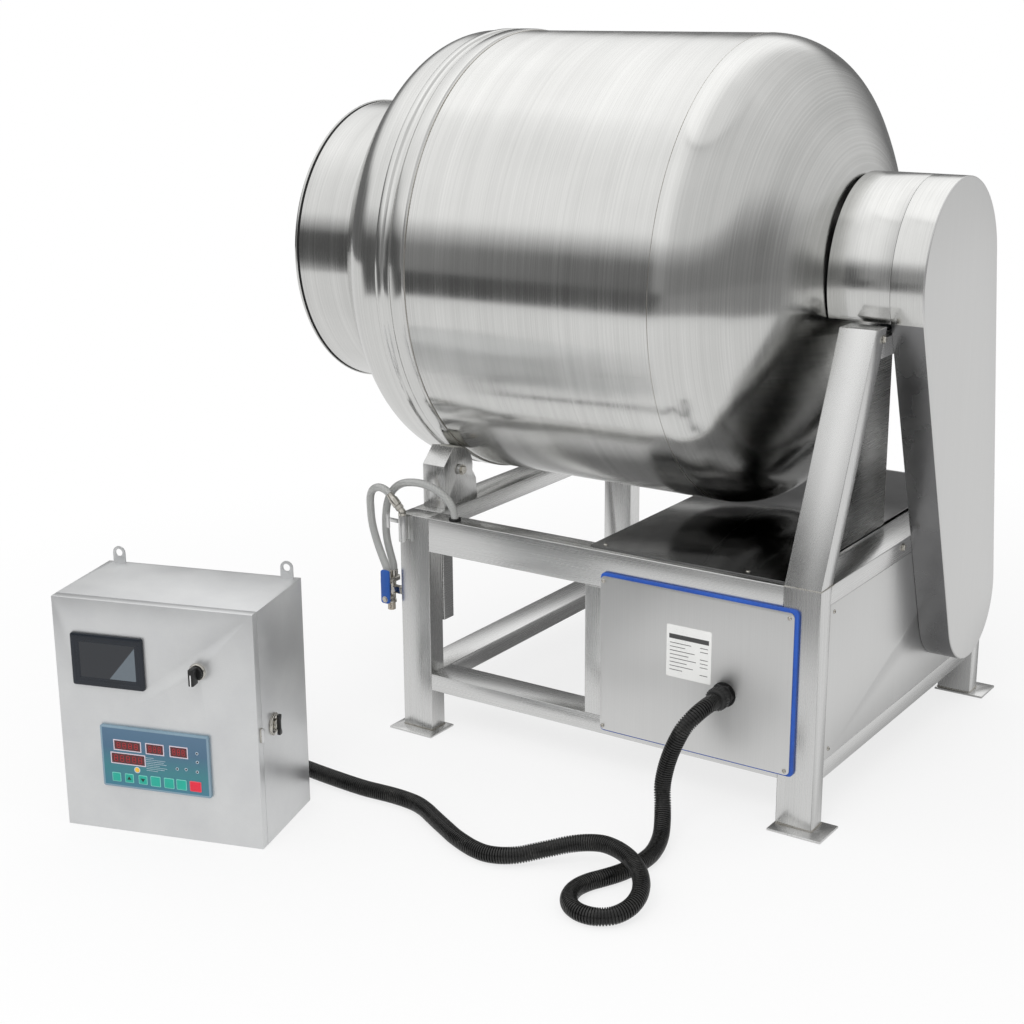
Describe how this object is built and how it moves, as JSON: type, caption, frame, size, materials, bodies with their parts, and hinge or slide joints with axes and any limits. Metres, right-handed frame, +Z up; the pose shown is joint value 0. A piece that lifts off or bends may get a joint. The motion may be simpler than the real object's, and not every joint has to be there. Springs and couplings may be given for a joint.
{
  "type": "meat vacuum tumbler",
  "caption": "Lying drum with a lidded mouth on a welded tube frame, chain driven at one end and carried on rollers, with a vacuum line and a separate control box on a conduit.",
  "frame": {"origin": "centre of the underside of the front foot plate at the drive end", "axes": "+X along the drum towards the chain drive, +Y from the service side to the rear, +Z up"},
  "size_m": [1.5851, 1.784, 1.5725],
  "materials": {
    "steel": "brushed, with turned bands on the drum",
    "box_steel": "bead blasted",
    "polished_steel": "polished",
    "dark_steel": "oiled",
    "cast_iron": "as cast",
    "motor_paint": "satin",
    "plated": "bright",
    "seal_rubber": "matt",
    "blue_silicone": "satin",
    "polyamide": "satin",
    "film": "satin film",
    "green_key": "satin",
    "red_key": "satin",
    "blue_lever": "dipped",
    "black_plastic": "matt",
    "braided_hose": "clear with a braid inside"
  },
  "bodies": {
    "frame": {"leg_front_drive": "steel", "leg_front_mouth": "steel", "leg_rear_drive": "steel", "leg_rear_mouth": "steel", "rail_top_front": "steel", "rail_top_rear": "steel", "rail_top_drive": "steel", "rail_top_mouth": "steel", "rail_low_front": "steel", "rail_low_rear": "steel", "rail_low_drive": "steel", "rail_low_mouth": "steel", "post_front": "steel", "post_rear": "steel", "stay_front": "steel", "stay_rear": "steel", "bearing_bridge": "steel", "bearing_block": "cast_iron", "top_cover": "polished_steel", "drive_end_panel": "steel", "rear_panel": "steel", "floor_pan": "steel", "panel_gasket": "blue_silicone", "service_panel": "steel", "chain_guard": "steel", "shroud": "steel", "drive_chain": "dark_steel", "gearmotor": "motor_paint", "vacuum_pump": "motor_paint", "roller_bracket_front": "steel", "roller_bracket_rear": "steel", "hose_holder": "steel", "hose_elbow": "plated", "valve_body": "plated", "vacuum_hose": "braided_hose", "lid_hose": "braided_hose", "conduit_gland": "black_plastic", "power_conduit": "black_plastic", "box_shell": "box_steel"},
    "drum": {"drum_shell": "steel", "drum_vanes": "steel", "drive_shaft": "dark_steel"},
    "lid": {"mouth_lid": "steel", "lid_seal": "seal_rubber"},
    "motor_gear": {"motor_sprocket": "dark_steel"},
    "front_roller": {"roller_front": "polyamide"},
    "rear_roller": {"roller_rear": "polyamide"},
    "lever": {"valve_lever": "blue_lever"},
    "door": {"box_door": "box_steel", "touch_display": "black_plastic", "controller": "film"},
    "knob": {"selector_knob": "black_plastic"},
    "latch": {"box_latch": "plated"},
    "key_a": {"key_1": "green_key"},
    "key_b": {"key_2": "green_key"},
    "key_c": {"key_3": "green_key"},
    "key_d": {"key_4": "green_key"},
    "key_e": {"key_5": "green_key"},
    "key_f": {"key_6": "green_key"},
    "key_g": {"key_7": "red_key"}
  },
  "joints": [
    {"name": "drum_spin", "type": "hinge", "parent": "frame", "child": "drum", "pos_m": [0, 0.462, 1.0585], "axis": [1, 0, 0], "continuous": true},
    {"name": "lid_slide", "type": "slide", "parent": "drum", "child": "lid", "axis": [-1, 0, 0], "range_m": [0, 0.12]},
    {"name": "motor_spin", "type": "hinge", "parent": "frame", "child": "motor_gear", "pos_m": [0.045, 0.657, 0.327], "axis": [1, 0, 0], "continuous": true},
    {"name": "front_roller_spin", "type": "hinge", "parent": "frame", "child": "front_roller", "pos_m": [-0.975, 0.12804, 0.60053], "axis": [1, 0, 0], "continuous": true},
    {"name": "rear_roller_spin", "type": "hinge", "parent": "frame", "child": "rear_roller", "pos_m": [-0.975, 0.79596, 0.60053], "axis": [1, 0, 0], "continuous": true},
    {"name": "valve_turn", "type": "hinge", "parent": "frame", "child": "lever", "pos_m": [-1.047, -0.0283, 0.312], "axis": [0, -1, 0], "range_deg": [0, 90]},
    {"name": "door_hinge", "type": "hinge", "parent": "frame", "child": "door", "pos_m": [-1.29254, -0.787, 0.25], "axis": [0, 0, -1], "range_deg": [0, 115]},
    {"name": "knob_turn", "type": "hinge", "parent": "door", "child": "knob", "pos_m": [-0.9843, -0.71403, 0.37], "axis": [-0.2974, 0.9548, 0], "range_deg": [-45, 45]},
    {"name": "latch_turn", "type": "hinge", "parent": "frame", "child": "latch", "pos_m": [-0.88821, -0.60555, 0.243], "axis": [0.9548, 0.2974, 0], "range_deg": [0, 180]},
    {"name": "key_a_press", "type": "slide", "parent": "door", "child": "key_a", "axis": [-0.2974, 0.9548, 0], "range_m": [0, 0.0004], "stiffness_N_per_m": 400},
    {"name": "key_b_press", "type": "slide", "parent": "door", "child": "key_b", "axis": [-0.2974, 0.9548, 0], "range_m": [0, 0.0004], "stiffness_N_per_m": 400},
    {"name": "key_c_press", "type": "slide", "parent": "door", "child": "key_c", "axis": [-0.2974, 0.9548, 0], "range_m": [0, 0.0004], "stiffness_N_per_m": 400},
    {"name": "key_d_press", "type": "slide", "parent": "door", "child": "key_d", "axis": [-0.2974, 0.9548, 0], "range_m": [0, 0.0004], "stiffness_N_per_m": 400},
    {"name": "key_e_press", "type": "slide", "parent": "door", "child": "key_e", "axis": [-0.2974, 0.9548, 0], "range_m": [0, 0.0004], "stiffness_N_per_m": 400},
    {"name": "key_f_press", "type": "slide", "parent": "door", "child": "key_f", "axis": [-0.2974, 0.9548, 0], "range_m": [0, 0.0004], "stiffness_N_per_m": 400},
    {"name": "key_g_press", "type": "slide", "parent": "door", "child": "key_g", "axis": [-0.2974, 0.9548, 0], "range_m": [0, 0.0004], "stiffness_N_per_m": 400}
  ],
  "couplings": [
    {"joint": "motor_spin", "follows": "drum_spin", "ratio": 3},
    {"joint": "front_roller_spin", "follows": "drum_spin", "ratio": -9.7905},
    {"joint": "rear_roller_spin", "follows": "drum_spin", "ratio": -9.7905}
  ]
}
